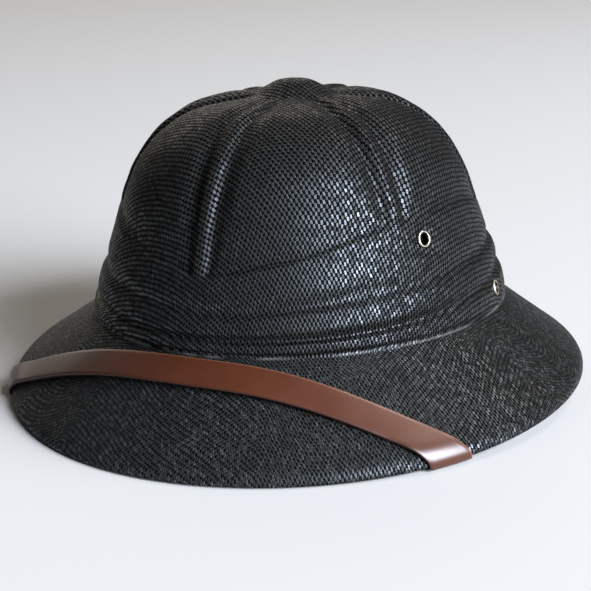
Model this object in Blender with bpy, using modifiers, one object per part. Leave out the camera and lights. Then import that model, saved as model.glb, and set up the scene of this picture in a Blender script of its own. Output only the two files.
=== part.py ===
"""Straw sun hat: crown and brim blocked from one woven sheet, a leather chin strap and four brass eyelets.

+Z is up, the front of the hat looks towards -Y and the wearer's left is +X. The hat stands on its brim's
edge, with the middle of its outline over the origin. Sizes are in millimetres until a mesh is written.
"""
import math

import bpy
import numpy as np
from mathutils import Matrix, Vector
from mathutils.bvhtree import BVHTree

MM = 0.001

# Crown
CROWN_HALF_WIDTH = 99.6
CROWN_HALF_LENGTH = 117.4
CROWN_RISE = 102.9
TOP_FORWARD = 6.2
FOOT_FRONT_LIFT = 4.2
FOOT_SADDLE = 0.6
WALL = 1.8

# Section of the crown: share of the rise, share of the half width and half length
SECTION = (
    (0.000, 1.000),
    (0.200, 0.947),
    (0.400, 0.881),
    (0.600, 0.816),
    (0.780, 0.720),
    (0.900, 0.600),
    (0.970, 0.463),
    (1.000, 0.274),
    (1.014, 0.200),
    (1.050, 0.132),
    (1.080, 0.070),
    (1.090, 0.000),
)

# Pressed band round the crown's foot, heights over the foot: angle from the front, low fold, high fold,
# lower border of the panels
BAND = (
    (0.0, 6.0, 17.0, 33.0),
    (30.0, 6.8, 21.0, 42.3),
    (60.0, 8.8, 25.0, 53.6),
    (90.0, 13.8, 28.8, 55.6),
    (120.0, 18.5, 31.0, 48.5),
    (150.0, 20.5, 32.0, 43.5),
    (180.0, 20.5, 32.0, 41.0),
)

# Relief of the band: level (0 foot, 1 low fold, 2 high fold, 3 lower border of the panels), height
BAND_RELIEF = (
    (0.00, 0.5),
    (0.30, 2.3),
    (0.70, 2.5),
    (1.00, 0.6),
    (1.30, 2.2),
    (1.70, 1.9),
    (2.00, 0.5),
    (2.25, 1.7),
    (2.85, 1.7),
    (3.00, 1.2),
)
RIB_COUNT = 6
RIB_RELIEF = 1.7
RIB_HALF_ANGLE_LOW = 3.6
RIB_HALF_ANGLE_HIGH = 9.0
GROOVE_RELIEF = -1.1
PANEL_RELIEF = 1.5
PANEL_SLOPE = 9.0
PANEL_LENGTH = 100.0

# Brim by angle from the front: width in plan, drop
BRIM = (
    (0.0, 44.3, 43.4),
    (45.0, 44.4, 42.0),
    (90.0, 45.0, 32.6),
    (135.0, 38.4, 32.3),
    (180.0, 48.7, 35.2),
)
BRIM_HOLLOW = -0.05
LIP = 4.6
LIP_OUT = 1.1

# Rows of the pressed sheet from the button to the edge: levels as above, 4 the top's middle, below 0 the
# brim, -1 the lip's bend, -2 the edge
ROWS = (
    4.0, 3.885, 3.80, 3.72, 3.64, 3.56, 3.49, 3.42, 3.35, 3.29, 3.23, 3.17, 3.12, 3.075, 3.035, 3.0,
    2.90, 2.60, 2.22, 2.0, 1.78, 1.30, 1.0, 0.78, 0.40, 0.0,
    -0.06, -0.28, -0.52, -0.78, -1.0, -1.45, -2.0,
)
COLUMNS = 72
BLANK_RADIUS = 150.0
BLANK_RISE = 20.0

# Eyelets: angle from the front, level
EYELETS = (
    ("front", 68.0, 2.61),
    ("rear", 98.0, 0.58),
)
EYELET_FLANGE = 4.0
EYELET_BORE = 2.5
EYELET_WALL = 0.45
EYELET_FLANGE_RISE = 0.9
EYELET_SEAT = 1.3
EYELET_SEAT_RIM = 0.5
EYELET_SEAT_SLOPE = 4.0
EYELET_SIDES = 12

# Chin strap; rise and round are given for the wearer's left (1) and right (-1)
STRAP_WIDTH = 15.0
STRAP_THICK = 1.8
STRAP_AHEAD = 8.2
STRAP_RISE = {1: 0.33, -1: 0.53}
STRAP_ROUND_LEFT = 38.0
STRAP_ROUND_RIGHT = 71.0
STRAP_TURN = 0.6
STRAP_FRONT_LIFT = 2.2
STRAP_EDGE_SLANT = 0.3
STRAP_BEND_RUN = 0.6
STRAP_UNDER_RUN = 2.2
STRAP_FOOT_DROP = 1.0
STRAP_FOOT_Y = -6.0
STRAP_FOOT_SPREAD = 15.0
STRAP_END_LAP = 9.0
STRAP_HOLD = 0.6
STRAP_STEPS = 16
STRAP_LINES = 4

CLEAR = 0.3


def smooth(table, column, x):
    """Reads one column of a table at x by a cubic that never overshoots its rows."""
    xs = np.array([row[0] for row in table], float)
    ys = np.array([row[column] for row in table], float)
    run = np.diff(xs)
    rise = np.diff(ys) / run
    slope = np.zeros(len(xs))
    slope[0], slope[-1] = rise[0], rise[-1]
    same = rise[:-1] * rise[1:] > 0
    slope[1:-1][same] = 2 * rise[:-1][same] * rise[1:][same] / (rise[:-1][same] + rise[1:][same])
    x = np.clip(x, xs[0], xs[-1])
    i = np.clip(np.searchsorted(xs, x, side="right") - 1, 0, len(run) - 1)
    t = (x - xs[i]) / run[i]
    a = (1 + 2 * t) * (1 - t) ** 2 * ys[i] + t * t * (3 - 2 * t) * ys[i + 1]
    return a + run[i] * (t * (1 - t) ** 2 * slope[i] - t * t * (1 - t) * slope[i + 1])


def ring(table, column, angle):
    """Reads a table of evenly spaced angles, the same on the left and right, by a cosine series."""
    a = np.radians([row[0] for row in table])
    k = np.arange(len(a))
    part = np.linalg.solve(np.cos(np.outer(a, k)), [row[column] for row in table])
    return np.cos(np.outer(np.atleast_1d(angle), k)) @ part


def ease(x):
    """Runs from 0 to 1 with level ends."""
    x = np.clip(x, 0, 1)
    return x * x * (3 - 2 * x)


def foot_height(angle):
    """Height of the crown's foot, a little lifted at the front and low at the back."""
    return FOOT_FRONT_LIFT * np.cos(angle) - FOOT_SADDLE * np.cos(2 * angle)


SECTION_STEPS = tuple((float(i), up, out) for i, (up, out) in enumerate(SECTION))
SECTION_BACK = tuple((up, float(i)) for i, (up, out) in enumerate(SECTION))


def section_step(level, angle):
    """Turns a level of the crown into a step along its section, through the band's three lines."""
    turn = np.degrees(np.abs(np.angle(np.exp(1j * angle))))
    foot = foot_height(angle)
    marks = [np.zeros_like(turn)]
    for column in (1, 2, 3):
        over = smooth(BAND, column, turn)
        share = over / CROWN_RISE
        share = over / (CROWN_RISE - foot * (2 - share))
        marks.append(smooth(SECTION_BACK, 1, share))
    marks.append(np.full_like(turn, len(SECTION) - 1.0))
    marks = np.array(marks)
    low = np.clip(np.floor(level).astype(int), 0, 3)
    pick = np.arange(len(turn))
    return marks[low, pick] + (marks[low + 1, pick] - marks[low, pick]) * (level - low)


def crown_plain(step, angle):
    """Point of the crown without its pressed relief."""
    up = smooth(SECTION_STEPS, 1, step)
    out = smooth(SECTION_STEPS, 2, step)
    round_up = ease((out - 0.12) / 0.35)
    middle = (CROWN_HALF_WIDTH + CROWN_HALF_LENGTH) / 2
    half_x = middle + (CROWN_HALF_WIDTH - middle) * round_up
    half_y = middle + (CROWN_HALF_LENGTH - middle) * round_up
    over = np.clip(1 - up, 0, 1)
    x = half_x * out * np.sin(angle)
    y = -half_y * out * np.cos(angle) - TOP_FORWARD * up
    z = foot_height(angle) * over ** 2 + CROWN_RISE * up
    return np.stack([x, y, z], -1)


def crown_normal(step, angle):
    """Outward normal of the plain crown."""
    d = 1e-3
    along = crown_plain(step, angle + d) - crown_plain(step, angle - d)
    upward = crown_plain(np.minimum(step + d, len(SECTION) - 1.02), angle) - crown_plain(np.maximum(step - d, 0), angle)
    n = np.cross(along, upward)
    return n / np.maximum(np.linalg.norm(n, axis=-1, keepdims=True), 1e-12)


def rib_half_angle(level):
    """Half the angle a rib takes, wider near the top where the ribs meet."""
    share = ease((level - 3.0) / 0.8)
    return np.radians(RIB_HALF_ANGLE_LOW + (RIB_HALF_ANGLE_HIGH - RIB_HALF_ANGLE_LOW) * share)


def eyelet_seat(level, angle):
    """Share of the relief that is kept, 0 on the flat seat round each eyelet."""
    keep = np.ones(len(angle))
    side = np.abs(np.angle(np.exp(1j * angle)))
    here = crown_plain(section_step(level, angle), side)
    for name, turn, mark in EYELETS:
        a = np.full(1, math.radians(turn))
        there = crown_plain(section_step(np.full(1, mark), a), a)
        away = np.linalg.norm(here - there, axis=-1)
        keep *= ease((away - EYELET_FLANGE - EYELET_SEAT_RIM) / EYELET_SEAT_SLOPE)
    return keep


def crown_relief(level, angle):
    """Height of the pressed relief: folds of the band, ribs and pillowed panels."""
    sector = 2 * math.pi / RIB_COUNT
    off = np.abs((angle + sector / 2) % sector - sector / 2)
    half = rib_half_angle(level)
    band = smooth(BAND_RELIEF, 1, np.minimum(level, 3.0))
    step = section_step(level, angle)
    out = smooth(SECTION_STEPS, 2, step)
    beside = np.clip(off - half, 0, None) * out * (CROWN_HALF_WIDTH + CROWN_HALF_LENGTH) / 2
    over = np.clip(level - 3.0, 0, None) * PANEL_LENGTH
    inset = (np.maximum(beside, 1e-3) ** -3.0 + np.maximum(over, 1e-3) ** -3.0) ** (-1 / 3)
    panel = GROOVE_RELIEF + (PANEL_RELIEF - GROOVE_RELIEF) * ease(inset / PANEL_SLOPE)
    rib = RIB_RELIEF + (GROOVE_RELIEF - RIB_RELIEF) * ease((off / half - 0.45) / 0.55)
    upper = np.where(off < half, np.maximum(rib, np.where(level < 3.04, band, rib)), panel)
    lower = np.where(level < 2.99, band, np.where(off < half, RIB_RELIEF, GROOVE_RELIEF))
    fade = 1 - ease((level - 3.45) / 0.30)
    keep = eyelet_seat(level, angle)
    return (EYELET_SEAT + (np.where(level <= 3.0, lower, upper) - EYELET_SEAT) * keep) * fade


def crown_point(level, angle, lift=0.0):
    """Point of the crown's outer face, lift above it."""
    step = section_step(level, angle)
    height = crown_relief(level, angle) + lift
    return crown_plain(step, angle) + crown_normal(step, angle) * height[:, None]


def brim_plain(share, angle):
    """Point of the brim's upper face; share 1 is the bend of the lip."""
    start = np.zeros_like(angle)
    foot = crown_plain(start, angle) + crown_normal(start, angle) * BAND_RELIEF[0][1]
    nx, ny = np.sin(angle) / CROWN_HALF_WIDTH, -np.cos(angle) / CROWN_HALF_LENGTH
    size = np.hypot(nx, ny)
    wide = ring(BRIM, 1, angle) - LIP_OUT
    drop = ring(BRIM, 2, angle) - LIP
    down = drop * ((1 - BRIM_HOLLOW) * share + BRIM_HOLLOW * share ** 2)
    return foot + np.stack([nx / size * wide * share, ny / size * wide * share, -down], -1)


def brim_normal(share, angle):
    """Upward normal of the brim."""
    d = 1e-4
    along = brim_plain(share, angle + d) - brim_plain(share, angle - d)
    inward = brim_plain(share - d, angle) - brim_plain(share + d, angle)
    n = np.cross(along, inward)
    return n / np.linalg.norm(n, axis=-1, keepdims=True)


def lip_point(share, angle):
    """Point of the lip's outer face, share 0 at its bend and 1 at the edge."""
    nx, ny = np.sin(angle) / CROWN_HALF_WIDTH, -np.cos(angle) / CROWN_HALF_LENGTH
    size = np.hypot(nx, ny)
    out = LIP_OUT * (1 - (1 - share) ** 2)
    return brim_plain(np.ones_like(angle), angle) + np.stack([nx / size * out, ny / size * out, -LIP * share], -1)


def outward(angle):
    """Level direction square to the brim's edge."""
    nx, ny = np.sin(angle) / CROWN_HALF_WIDTH, -np.cos(angle) / CROWN_HALF_LENGTH
    size = np.hypot(nx, ny)
    return np.stack([nx / size, ny / size, np.zeros_like(nx)], -1)


def sheet_point(level, angle):
    """Point of the pressed sheet at any row."""
    if level >= 0:
        return crown_point(np.full_like(angle, level), angle)
    if level >= -1:
        return brim_plain(np.full_like(angle, -level), angle)
    return lip_point(np.full_like(angle, -level - 1), angle)


def crowd(angle, level):
    """Moves the crown's columns beside the ribs, so that each rib and groove has columns of its own."""
    sector = 2 * math.pi / RIB_COUNT
    whole = np.round(angle / sector)
    off = angle / sector - whole
    half = float(rib_half_angle(np.full(1, level))[0]) / sector
    even = np.array([0, 1, 2, 3, 4, 5, 6]) / 12
    rest = np.array([0.12, 0.34, 0.65, 1.0])
    there = np.concatenate([[0, half / 2, half], half + (0.5 - half) * rest])
    there += (even - there) * float(ease(-level / 0.25))
    return (whole + np.sign(off) * np.interp(np.abs(off), even, there)) * sector


def new_object(name, mesh, group):
    """Adds a mesh as an object of a collection."""
    made = bpy.data.objects.new(name, mesh)
    group.objects.link(made)
    return made


def settled(made):
    """Replaces an object's mesh by the mesh its modifiers give."""
    bpy.context.view_layer.update()
    final = bpy.data.meshes.new_from_object(made.evaluated_get(bpy.context.evaluated_depsgraph_get()))
    made.modifiers.clear()
    made.data = final
    return final


def coordinates(mesh):
    """The mesh's vertices as an array."""
    flat = np.empty(len(mesh.vertices) * 3)
    mesh.vertices.foreach_get("co", flat)
    return flat.reshape(-1, 3)


def write_back(mesh, points):
    """Moves the mesh's vertices."""
    mesh.vertices.foreach_set("co", np.ascontiguousarray(points, float).ravel())
    mesh.update()


def lathe(made, steps):
    """Turns an object's profile about Z."""
    turn = made.modifiers.new("turned", "SCREW")
    turn.axis = "Z"
    turn.steps = steps
    turn.render_steps = steps
    turn.use_merge_vertices = True
    turn.merge_threshold = 0.00005
    turn.use_normal_calculate = True


def thicken(made, thick, side):
    """Gives a sheet its thickness, side -1 below its face and +1 above it."""
    wall = made.modifiers.new("wall", "SOLIDIFY")
    wall.thickness = thick
    wall.offset = side
    wall.use_even_offset = True
    wall.thickness_clamp = 1.0


def profile(name, points, group, closed=False):
    """A profile in the XZ plane, given from top to bottom; a closed one runs on to its start."""
    count = len(points)
    edges = [(i, (i + 1) % count) for i in range(count if closed else count - 1)]
    mesh = bpy.data.meshes.new(name)
    mesh.from_pydata([(x, 0.0, z) for x, z in points], edges, [])
    return new_object(name, mesh, group)


def face_out(mesh):
    """Turns every face outward, by the sign of the volume the mesh shuts in."""
    mesh.calc_loop_triangles()
    points = coordinates(mesh)
    tri = np.array([t.vertices[:] for t in mesh.loop_triangles])
    a, b, c = points[tri[:, 0]], points[tri[:, 1]], points[tri[:, 2]]
    if np.einsum("ij,ij->", a, np.cross(b, c)) < 0:
        mesh.flip_normals()


def cut(made, cutter):
    """Takes a cutter out of a solid."""
    hole = made.modifiers.new("hole", "BOOLEAN")
    hole.operation = "DIFFERENCE"
    hole.solver = "EXACT"
    hole.object = cutter
    settled(made)


def material(name, colour, metallic, roughness):
    """A plain surface."""
    made = bpy.data.materials.new(name)
    made.use_nodes = True
    made.diffuse_color = (*colour, 1.0)
    shader = made.node_tree.nodes["Principled BSDF"]
    shader.inputs["Base Color"].default_value = (*colour, 1.0)
    shader.inputs["Metallic"].default_value = metallic
    shader.inputs["Roughness"].default_value = roughness
    return made


def pressed_body(group):
    """The woven sheet, turned as a low cone and pressed row by row, with its thickness."""
    last = len(ROWS) - 1
    blank = [(BLANK_RADIUS * MM * i / last, BLANK_RISE * MM * (1 - i / last)) for i in range(last + 1)]
    body = profile("straw_body", blank, group)
    lathe(body, COLUMNS)
    mesh = settled(body)
    points = coordinates(mesh)
    row = np.rint(np.hypot(points[:, 0], points[:, 1]) / (BLANK_RADIUS * MM) * last).astype(int)
    angle = np.arctan2(points[:, 0], -points[:, 1])
    for i, level in enumerate(ROWS):
        here = np.where(row == i)[0]
        if level == 4.0:
            points[here] = crown_point(np.full(1, 4.0), np.zeros(1)) * MM
        else:
            points[here] = sheet_point(level, crowd(angle[here], level)) * MM
    write_back(mesh, points)
    if sum(face.normal.z * face.area for face in mesh.polygons) < 0:
        mesh.flip_normals()
    thicken(body, WALL * MM, -1)
    settled(body)
    return body


def strap_middle(turn):
    """Share of the brim where the strap's middle line runs, at angles from the strap's own middle."""
    low, high = np.full_like(turn, -0.2), np.full_like(turn, 1.6)
    for _ in range(24):
        share = (low + high) / 2
        x, y, z = brim_plain(share, turn).T
        rise = np.where(x > 0, STRAP_RISE[1], STRAP_RISE[-1])
        bow = np.where(x > 0, STRAP_ROUND_LEFT, STRAP_ROUND_RIGHT)
        short = -y < CROWN_HALF_LENGTH + STRAP_AHEAD - rise * (np.hypot(x, bow) - bow)
        low, high = np.where(short, share, low), np.where(short, high, share)
    return (low + high) / 2


def strap_edge_line(turn, side):
    """Angles and shares of a line along the strap on the brim; side -1 is its front edge and +1 its rear."""
    d = 1e-3
    twist = math.radians(STRAP_TURN)
    share, here = strap_middle(turn), turn + twist
    ahead = brim_plain(strap_middle(turn + d), here + d)
    behind = brim_plain(strap_middle(turn - d), here - d)
    by_angle = (brim_plain(share, here + d) - brim_plain(share, here - d)) / (2 * d)
    by_share = (brim_plain(share + d, here) - brim_plain(share - d, here)) / (2 * d)
    across = np.cross(np.cross(by_share, by_angle), ahead - behind)
    across *= np.sign(across[:, 1:2]) / np.linalg.norm(across, axis=-1, keepdims=True)
    across *= side * STRAP_WIDTH / 2
    for i in range(len(turn)):
        move = np.linalg.lstsq(np.stack([by_angle[i], by_share[i]], 1), across[i], rcond=None)[0]
        here[i] += move[0]
        share[i] += move[1]
    return here, share


def strap_run(side, way):
    """Angles and shares of a line along the strap, from the brim's middle to the lip in even steps."""
    turn = way * np.radians(np.linspace(0, 75, 61))
    angle, share = strap_edge_line(turn, side)
    reach = np.interp(1.0, share, np.abs(turn))
    return strap_edge_line(way * np.linspace(0, reach, STRAP_STEPS + 1), side)


def edge_travel(angle, way, run):
    """Angle after a run along the brim's edge."""
    a = np.full(1, angle)
    d = 1e-3
    pace = np.linalg.norm(lip_point(np.ones(1), a + d) - lip_point(np.ones(1), a - d)) / (2 * d)
    return angle + way * run / pace


def inner_wall(level, angle, gap):
    """Point inside the crown, a gap away from its inner face."""
    step = section_step(level, angle)
    return crown_plain(step, angle) - crown_normal(step, angle) * (WALL + gap)


def strap_half(side, way):
    """A line along the strap from the middle of the brim round the lip to the strap's end."""
    turns, shares = strap_run(side, way)
    lift = CLEAR + STRAP_FRONT_LIFT * (1 - side) / 2 * (1 - np.linspace(0, 1, len(turns)) ** 2)
    path = list(brim_plain(shares, turns) + brim_normal(shares, turns) * lift[:, None])
    angle = turns[-1]
    a, s = turns[-1:], shares[-1:]
    bend = outward(a) + brim_normal(s, a)
    path[-1] = (brim_plain(s, a) + bend / np.linalg.norm(bend) * CLEAR * 1.2)[0]
    for share in (0.5, 1.0):
        a = np.full(1, edge_travel(angle, way, LIP * share * STRAP_EDGE_SLANT))
        path.append((lip_point(np.full(1, share), a) + outward(a) * CLEAR)[0])
    under = LIP * STRAP_EDGE_SLANT
    a = np.full(1, edge_travel(angle, way, under + STRAP_BEND_RUN))
    path.append((lip_point(np.ones(1), a) + outward(a) * 0.1 * CLEAR - np.array([0, 0, 1.5 * CLEAR]))[0])
    a = np.full(1, edge_travel(angle, way, under + STRAP_UNDER_RUN))
    path.append((lip_point(np.ones(1), a) - outward(a) * (WALL + CLEAR * 2 / 3) - np.array([0, 0, 1.5 * CLEAR]))[0])
    start = path[-1]
    cross_y = STRAP_FOOT_Y + side * STRAP_FOOT_SPREAD
    ridge = math.acos(-cross_y / (CROWN_HALF_LENGTH - WALL))
    a = np.full(1, way * ridge)
    foot = inner_wall(np.zeros(1), a, STRAP_HOLD)[0] - np.array([0, 0, STRAP_FOOT_DROP])
    for i in range(1, 8):
        path.append(start + (foot - start) * i / 7)
    name, turn, mark = EYELETS[1]
    pin = np.full(1, way * math.radians(turn))
    hub = inner_wall(np.full(1, mark), pin, STRAP_HOLD)[0]
    middle = math.acos(-STRAP_FOOT_Y / (CROWN_HALF_LENGTH - WALL))
    base = inner_wall(np.zeros(1), np.full(1, way * middle), STRAP_HOLD)[0]
    along = (hub - base) / np.linalg.norm(hub - base)
    normal = crown_normal(section_step(np.full(1, mark), pin), pin)[0]
    across = np.cross(normal, along) * way
    if across[2] < 0:
        across = -across
    end = hub + along * STRAP_END_LAP - across * side * STRAP_WIDTH / 2
    for i in range(1, 6):
        path.append(foot + (end - foot) * i / 5)
    return np.array(path)


def laid_strap(group):
    """The leather strip, its face towards the hat laid edge by edge, with its thickness on the far side."""
    lines = []
    for i in range(STRAP_LINES):
        side = -1 + 2 * i / (STRAP_LINES - 1)
        left, right = strap_half(side, 1), strap_half(side, -1)
        lines.append(np.concatenate([right[:0:-1], left]))
    count = len(lines[0])
    points = np.concatenate(lines) * MM
    corners = [j * count + i for j in range(STRAP_LINES - 1) for i in range(count - 1)]
    faces = [(i, i + 1, count + i + 1, count + i) for i in corners]
    mesh = bpy.data.meshes.new("chin_strap")
    mesh.from_pydata(points.tolist(), [], faces)
    mesh.update()
    middle = mesh.polygons[count // 2]
    if middle.normal.z < 0:
        mesh.flip_normals()
    strap = new_object("chin_strap", mesh, group)
    thicken(strap, STRAP_THICK * MM, 1)
    settled(strap)
    return strap


def wall_hit(tree, point, normal, radius):
    """Heights of a faceted face over the plane at a point, on three circles round it."""
    side = normal.orthogonal().normalized()
    other = normal.cross(side)
    heights = []
    for share in (0.62, 0.8, 1.0):
        for i in range(12):
            turn = 2 * math.pi * i / 12
            place = point + (side * math.cos(turn) + other * math.sin(turn)) * radius * share
            hit = tree.ray_cast(place + normal * 0.012, -normal, 0.05)
            if hit[0] is not None:
                heights.append((hit[0] - point).dot(normal))
    return heights


def tree_of(made):
    """Search tree of an object's faces."""
    mesh = made.data
    return BVHTree.FromPolygons([v.co.copy() for v in mesh.vertices], [p.vertices[:] for p in mesh.polygons])


def eyelet_profile(top, under):
    """Section of a clenched eyelet between its two flanges, from top to bottom."""
    r, w, f, h = EYELET_BORE * MM, EYELET_WALL * MM, EYELET_FLANGE * MM, EYELET_FLANGE_RISE * MM
    return [
        (r, top + h * 0.55), (r + w, top + h), (f - 0.4 * MM, top + h * 0.62), (f, top + h * 0.2), (f - 0.3 * MM, top),
        (r + w, top), (r + w, under), (f - 0.6 * MM, under), (f - 0.6 * MM, under - h * 0.5), (r + w, under - h * 0.8),
        (r, under - h * 0.4),
    ]


def eyelet(name, place, normal, top, under, group):
    """A brass eyelet standing on a plane of the wall."""
    made = profile(name, eyelet_profile(top, under), group, closed=True)
    lathe(made, EYELET_SIDES)
    mesh = settled(made)
    turn = normal.to_track_quat("Z", "Y").to_matrix().to_4x4()
    mesh.transform(Matrix.Translation(place) @ turn)
    face_out(mesh)
    return made


def drill(name, place, normal, reach, group):
    """Cutter for an eyelet's hole."""
    r = (EYELET_BORE + EYELET_WALL + CLEAR) * MM
    made = profile(name, [(0, reach), (r, reach), (r, -reach), (0, -reach)], group)
    lathe(made, EYELET_SIDES)
    mesh = settled(made)
    turn = normal.to_track_quat("Z", "Y").to_matrix().to_4x4()
    mesh.transform(Matrix.Translation(place) @ turn)
    face_out(mesh)
    made.hide_render = True
    made.display_type = "WIRE"
    return made


def main():
    for old in list(bpy.data.objects):
        bpy.data.objects.remove(old, do_unlink=True)
    hat = bpy.data.collections.new("straw_sun_hat")
    tools = bpy.data.collections.new("cutters")
    bpy.context.scene.collection.children.link(hat)
    bpy.context.scene.collection.children.link(tools)

    straw = material("black_woven_straw", (0.030, 0.031, 0.032), 0.0, 0.6)
    leather = material("brown_strap_leather", (0.155, 0.062, 0.030), 0.0, 0.45)
    brass = material("antique_eyelet_brass", (0.42, 0.31, 0.17), 1.0, 0.38)

    body = pressed_body(hat)
    strap = laid_strap(hat)
    rings = []
    shell, band = tree_of(body), tree_of(strap)
    for way, word in ((1, "left"), (-1, "right")):
        for kind, turn, level in EYELETS:
            a = np.full(1, way * math.radians(turn))
            mark = np.full(1, level)
            place = Vector(crown_point(mark, a)[0] * MM)
            normal = Vector(crown_normal(section_step(mark, a), a)[0])
            outer = wall_hit(shell, place, normal, EYELET_FLANGE * MM)
            inner_tree = band if kind == "rear" else shell
            deep = wall_hit(inner_tree, place - normal * 0.02, -normal, EYELET_FLANGE * MM)
            top = max(outer) + CLEAR * MM
            under = -0.02 - max(deep) - CLEAR * MM
            rings.append(eyelet("eyelet_%s_%s" % (word, kind), place, normal, top, under, hat))
            tool = drill("drill_%s_%s" % (word, kind), place, normal, 0.012, tools)
            cut(body, tool)
            if kind == "rear":
                cut(strap, tool)

    solids = [body, strap] + rings
    for made, skin in zip(solids, [straw, leather] + [brass] * len(rings)):
        made.data.materials.clear()
        made.data.materials.append(skin)
        face_out(made.data)
    every = np.concatenate([coordinates(made.data) for made in solids])
    low, high = every.min(0), every.max(0)
    shift = Vector((-(low[0] + high[0]) / 2, -(low[1] + high[1]) / 2, -low[2]))
    for made in solids:
        made.data.transform(Matrix.Translation(shift))


main()
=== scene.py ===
"""Straw sun hat: the looks of its pressed weave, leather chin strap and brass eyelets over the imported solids.

The row frame is in metres, +Z up, with the hat's front towards -Y and the wearer's left towards +X. The hat's
own sizes are kept in millimetres in the blocking frame, whose origin lies in the crown's foot, and are turned
into the row frame by place().
"""

import math

import bmesh
import bpy
import numpy as np
from mathutils import Matrix, Vector


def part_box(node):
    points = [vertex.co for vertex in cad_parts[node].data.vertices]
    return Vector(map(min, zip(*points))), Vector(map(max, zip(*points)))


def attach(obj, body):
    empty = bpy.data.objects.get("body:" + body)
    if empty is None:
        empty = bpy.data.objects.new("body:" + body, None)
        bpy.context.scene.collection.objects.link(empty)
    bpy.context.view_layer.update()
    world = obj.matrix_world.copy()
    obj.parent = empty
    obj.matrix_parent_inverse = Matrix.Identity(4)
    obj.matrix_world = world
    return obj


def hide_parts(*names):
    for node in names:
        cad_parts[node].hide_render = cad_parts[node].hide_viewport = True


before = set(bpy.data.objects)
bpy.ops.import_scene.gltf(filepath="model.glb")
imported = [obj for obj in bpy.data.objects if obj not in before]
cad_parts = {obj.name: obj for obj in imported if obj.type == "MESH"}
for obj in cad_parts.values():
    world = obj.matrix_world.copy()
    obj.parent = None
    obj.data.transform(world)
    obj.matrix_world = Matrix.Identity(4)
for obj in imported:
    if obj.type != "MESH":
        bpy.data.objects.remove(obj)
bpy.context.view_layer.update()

MM = 0.001

# Kinds of node that are used often, and what makes a mix one of colours
MATH = "ShaderNodeMath"
VECTOR = "ShaderNodeVectorMath"
MIX = "ShaderNodeMix"
RANGE = "ShaderNodeMapRange"
NOISE = "ShaderNodeTexNoise"
ATTRIBUTE = "GeometryNodeInputNamedAttribute"
INSTANCES = "GeometryNodeInstanceOnPoints"
MOVED = "GeometryNodeTranslateInstances"
TINTED = {"out": 2, "data_type": "RGBA"}

# Crown, as blocked, in millimetres
CROWN_HALF_WIDTH = 99.6
CROWN_HALF_LENGTH = 117.4
CROWN_RISE = 102.9
TOP_FORWARD = 6.2
FOOT_FRONT_LIFT = 4.2
FOOT_SADDLE = 0.6
WALL = 1.8

# The crown turns from round at its button to oval: share of its half size where that starts, and its run
ROUND_OUT = 0.12
ROUND_RUN = 0.35

# Section of the crown: share of the rise, share of the half width and half length
SECTION = (
    (0.000, 1.000),
    (0.200, 0.947),
    (0.400, 0.881),
    (0.600, 0.816),
    (0.780, 0.720),
    (0.900, 0.600),
    (0.970, 0.463),
    (1.000, 0.274),
    (1.014, 0.200),
    (1.050, 0.132),
    (1.080, 0.070),
    (1.090, 0.000),
)

# Pressed band, heights over the foot: angle from the front, low fold, high fold, lower border of the panels
BAND = (
    (0.0, 6.0, 17.0, 33.0),
    (30.0, 6.8, 21.0, 42.3),
    (60.0, 8.8, 25.0, 53.6),
    (90.0, 13.8, 28.8, 55.6),
    (120.0, 18.5, 31.0, 48.5),
    (150.0, 20.5, 32.0, 43.5),
    (180.0, 20.5, 32.0, 41.0),
)

# Relief of the band: level (0 foot, 1 low fold, 2 high fold, 3 lower border of the panels), height
BAND_RELIEF = (
    (0.00, 0.4),
    (0.30, 2.6),
    (0.70, 2.8),
    (1.00, 0.3),
    (1.30, 2.5),
    (1.70, 2.2),
    (2.00, 0.3),
    (2.25, 1.8),
    (2.85, 1.7),
    (3.00, 1.2),
)

# Ribs, grooves and pillowed panels: heights in millimetres, angles in degrees. RIB_WIDENING is in levels,
# PANEL_LENGTH is the length of one level on a panel, and PANEL_CORNER is the power that rounds its corners
RIB_COUNT = 6
RIB_RELIEF = 1.8
RIB_HALF_ANGLE_LOW = 3.6
RIB_HALF_ANGLE_HIGH = 9.0
RIB_WIDENING = 0.8
GROOVE_RELIEF = -0.7
BORDER_RELIEF = 0.3
PANEL_RELIEF = 1.5
PANEL_SLOPE = 9.0
PANEL_LENGTH = 100.0
PANEL_CORNER = 3.0

# Levels where the band's relief gives way to the panels', and where all relief dies out towards the button
PANEL_LEVEL = 3.0
BAND_END = 2.88
BAND_END_RUN = 0.16
BUTTON_FADE = 3.45
BUTTON_FADE_RUN = 0.30

# Chance relief of hand blocking: heights, then for each its size, how much closer it lies upright, detail
UNEVEN = 0.5
WRINKLES = 0.9
UNEVEN_NOISES = (("Unevenness", 25.0, 1.0, 2.0), ("Wrinkles", 32.0, 4.0, 1.0))

# Brim by angle from the front: width in plan, drop
BRIM = (
    (0.0, 44.3, 43.4),
    (45.0, 44.4, 42.0),
    (90.0, 45.0, 32.6),
    (135.0, 38.4, 32.3),
    (180.0, 48.7, 35.2),
)
BRIM_HOLLOW = -0.05
LIP = 4.6
LIP_OUT = 1.1

# The press rounds the bends at the crown's foot and at the lip: levels of each, greatest softness, passes
FOOT_SOFT = 0.10
LIP_SOFT_ABOVE = 0.30
LIP_SOFT_BELOW = 0.6
SOFTEST = 0.8
SOFT_PASSES = 15

# Levels over which the painted highlight along the foot's crease fades out, and over which the brim's weave
# closes up
CREASE_ABOVE = 0.02
CREASE_BELOW = 0.006
CLOSING_RUN = 0.1

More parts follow.
